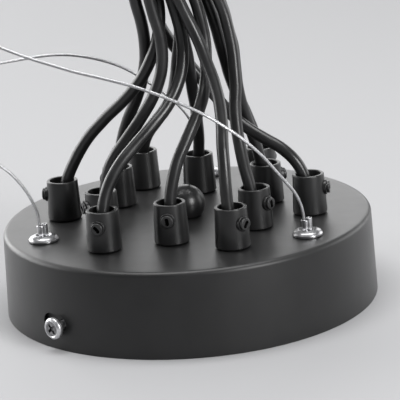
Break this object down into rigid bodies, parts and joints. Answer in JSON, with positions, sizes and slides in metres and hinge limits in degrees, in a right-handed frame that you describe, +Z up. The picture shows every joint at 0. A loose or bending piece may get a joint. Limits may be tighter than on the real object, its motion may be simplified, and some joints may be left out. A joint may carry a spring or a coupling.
{
  "type": "ceiling light canopy",
  "caption": "Round black ceiling canopy of a chandelier: cup grips in two rings hold round cords gathered by a tie, with wire grippers, suspension wires, a ball nut and an inner strap.",
  "frame": {"origin": "centre of the canopy's open rim, on the surface that it stands on", "axes": "+Z up through the flat top plate towards the cords; the picture looks along +Y from a little above, with +X to the right"},
  "size_m": [0.2165, 0.204, 0.2325],
  "materials": {
    "canopy": "matte black powder coat on sheet steel",
    "grips": "smooth matte black",
    "grip_screws": "blackened steel",
    "cords": "semi-gloss black sheath",
    "chrome_fittings": "polished plating",
    "wires": "bare twisted steel strands",
    "zinc_hardware": "zinc plating",
    "ball": "satin black",
    "strap": "matte black",
    "block": "white moulded plastic",
    "tie": "black nylon"
  },
  "bodies": {
    "canopy": {"canopy_shell": "canopy", "mounting_strap": "strap", "terminal_block": "block", "centre_stud": "zinc_hardware", "stud_nut": "zinc_hardware", "bundle_tie": "tie", "cord_grip_01": "grips", "cord_grip_02": "grips", "cord_grip_03": "grips", "cord_grip_04": "grips", "cord_grip_05": "grips", "cord_grip_06": "grips", "cord_grip_07": "grips", "cord_grip_08": "grips", "cord_grip_09": "grips", "cord_grip_10": "grips", "cord_grip_11": "grips", "cord_grip_12": "grips", "cord_01": "cords", "cord_02": "cords", "cord_03": "cords", "cord_04": "cords", "cord_05": "cords", "cord_06": "cords", "cord_07": "cords", "cord_08": "cords", "cord_09": "cords", "cord_10": "cords", "cord_11": "cords", "cord_12": "cords", "wire_gripper_left": "chrome_fittings", "wire_gripper_right": "chrome_fittings", "wire_gripper_rear": "chrome_fittings", "gripper_nut_left": "zinc_hardware", "gripper_nut_right": "zinc_hardware", "gripper_nut_rear": "zinc_hardware", "suspension_wire_left": "wires", "suspension_wire_right": "wires", "suspension_wire_rear": "wires", "wire_stop_left": "zinc_hardware", "wire_stop_right": "zinc_hardware", "wire_stop_rear": "zinc_hardware"},
    "screw_of_grip_01": {"grip_screw_01": "grip_screws"},
    "screw_of_grip_02": {"grip_screw_02": "grip_screws"},
    "screw_of_grip_03": {"grip_screw_03": "grip_screws"},
    "screw_of_grip_04": {"grip_screw_04": "grip_screws"},
    "screw_of_grip_05": {"grip_screw_05": "grip_screws"},
    "screw_of_grip_06": {"grip_screw_06": "grip_screws"},
    "screw_of_grip_07": {"grip_screw_07": "grip_screws"},
    "screw_of_grip_08": {"grip_screw_08": "grip_screws"},
    "screw_of_grip_09": {"grip_screw_09": "grip_screws"},
    "screw_of_grip_10": {"grip_screw_10": "grip_screws"},
    "screw_of_grip_11": {"grip_screw_11": "grip_screws"},
    "screw_of_grip_12": {"grip_screw_12": "grip_screws"},
    "screw_of_side_rear": {"side_screw_rear": "chrome_fittings"},
    "screw_of_side_front": {"side_screw_front": "chrome_fittings"},
    "plunger_left": {"gripper_plunger_left": "chrome_fittings"},
    "plunger_right": {"gripper_plunger_right": "chrome_fittings"},
    "plunger_rear": {"gripper_plunger_rear": "chrome_fittings"},
    "ball": {"ball_nut": "ball"}
  },
  "joints": [
    {"name": "grip_screw_01_out", "type": "slide", "parent": "canopy", "child": "screw_of_grip_01", "axis": [-0.9848, 0.1736, 0], "range_m": [0, 0.004]},
    {"name": "grip_screw_02_out", "type": "slide", "parent": "canopy", "child": "screw_of_grip_02", "axis": [-0.9397, -0.342, 0], "range_m": [0, 0.004]},
    {"name": "grip_screw_03_out", "type": "slide", "parent": "canopy", "child": "screw_of_grip_03", "axis": [-0.2924, -0.9563, 0], "range_m": [0, 0.004]},
    {"name": "grip_screw_04_out", "type": "slide", "parent": "canopy", "child": "screw_of_grip_04", "axis": [-0.766, 0.6428, 0], "range_m": [0, 0.004]},
    {"name": "grip_screw_05_out", "type": "slide", "parent": "canopy", "child": "screw_of_grip_05", "axis": [-0.342, 0.9397, 0], "range_m": [0, 0.004]},
    {"name": "grip_screw_06_out", "type": "slide", "parent": "canopy", "child": "screw_of_grip_06", "axis": [-0.1736, -0.9848, 0], "range_m": [0, 0.004]},
    {"name": "grip_screw_07_out", "type": "slide", "parent": "canopy", "child": "screw_of_grip_07", "axis": [0.1736, 0.9848, 0], "range_m": [0, 0.004]},
    {"name": "grip_screw_08_out", "type": "slide", "parent": "canopy", "child": "screw_of_grip_08", "axis": [0.6428, -0.766, 0], "range_m": [0, 0.004]},
    {"name": "grip_screw_09_out", "type": "slide", "parent": "canopy", "child": "screw_of_grip_09", "axis": [0.766, -0.6428, 0], "range_m": [0, 0.004]},
    {"name": "grip_screw_10_out", "type": "slide", "parent": "canopy", "child": "screw_of_grip_10", "axis": [0.9397, 0.342, 0], "range_m": [0, 0.004]},
    {"name": "grip_screw_11_out", "type": "slide", "parent": "canopy", "child": "screw_of_grip_11", "axis": [0.9848, -0.1736, 0], "range_m": [0, 0.004]},
    {"name": "grip_screw_12_out", "type": "slide", "parent": "canopy", "child": "screw_of_grip_12", "axis": [0.6428, 0.766, 0], "range_m": [0, 0.004]},
    {"name": "side_screw_rear_out", "type": "slide", "parent": "canopy", "child": "screw_of_side_rear", "axis": [0.6884, 0.7254, 0], "range_m": [-0.0025, 0.01]},
    {"name": "side_screw_front_out", "type": "slide", "parent": "canopy", "child": "screw_of_side_front", "axis": [-0.6884, -0.7254, 0], "range_m": [-0.0025, 0.01]},
    {"name": "plunger_left_press", "type": "slide", "parent": "canopy", "child": "plunger_left", "axis": [0, 0, -1], "range_m": [0, 0.0015], "stiffness_N_per_m": 300},
    {"name": "plunger_right_press", "type": "slide", "parent": "canopy", "child": "plunger_right", "axis": [0, 0, -1], "range_m": [0, 0.0015], "stiffness_N_per_m": 300},
    {"name": "plunger_rear_press", "type": "slide", "parent": "canopy", "child": "plunger_rear", "axis": [0, 0, -1], "range_m": [0, 0.0015], "stiffness_N_per_m": 300},
    {"name": "ball_nut_off", "type": "slide", "parent": "canopy", "child": "ball", "axis": [0, 0, 1], "range_m": [0, 0.008]}
  ]
}
